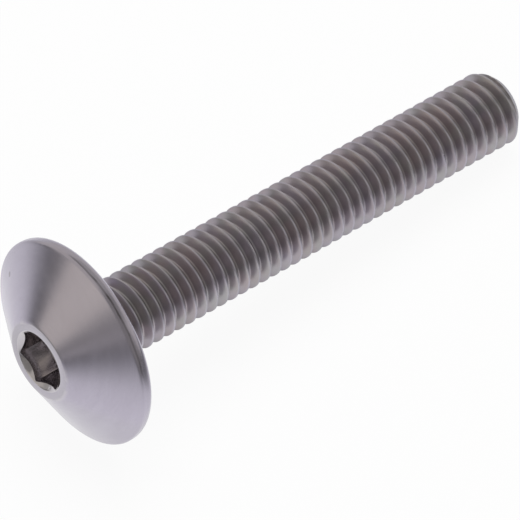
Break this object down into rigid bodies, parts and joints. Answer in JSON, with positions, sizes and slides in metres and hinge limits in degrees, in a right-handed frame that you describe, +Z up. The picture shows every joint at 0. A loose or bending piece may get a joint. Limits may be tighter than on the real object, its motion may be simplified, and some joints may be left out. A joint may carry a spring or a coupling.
{
  "type": "button head screw",
  "caption": "Fully threaded socket screw with a wide low conical head, rounded rim and countersunk hexagon socket, lying on its side.",
  "frame": {"origin": "centre of the bearing face, where the head meets the thread", "axes": "+X along the screw as it lies, from the head towards the tip; +Y across it; +Z up from the surface it lies on"},
  "size_m": [0.0444, 0.0162, 0.0161],
  "materials": {
    "stainless_steel": "satin, turned on the head and rolled on the thread"
  },
  "bodies": {
    "root": {"screw": "stainless_steel"}
  },
  "joints": []
}
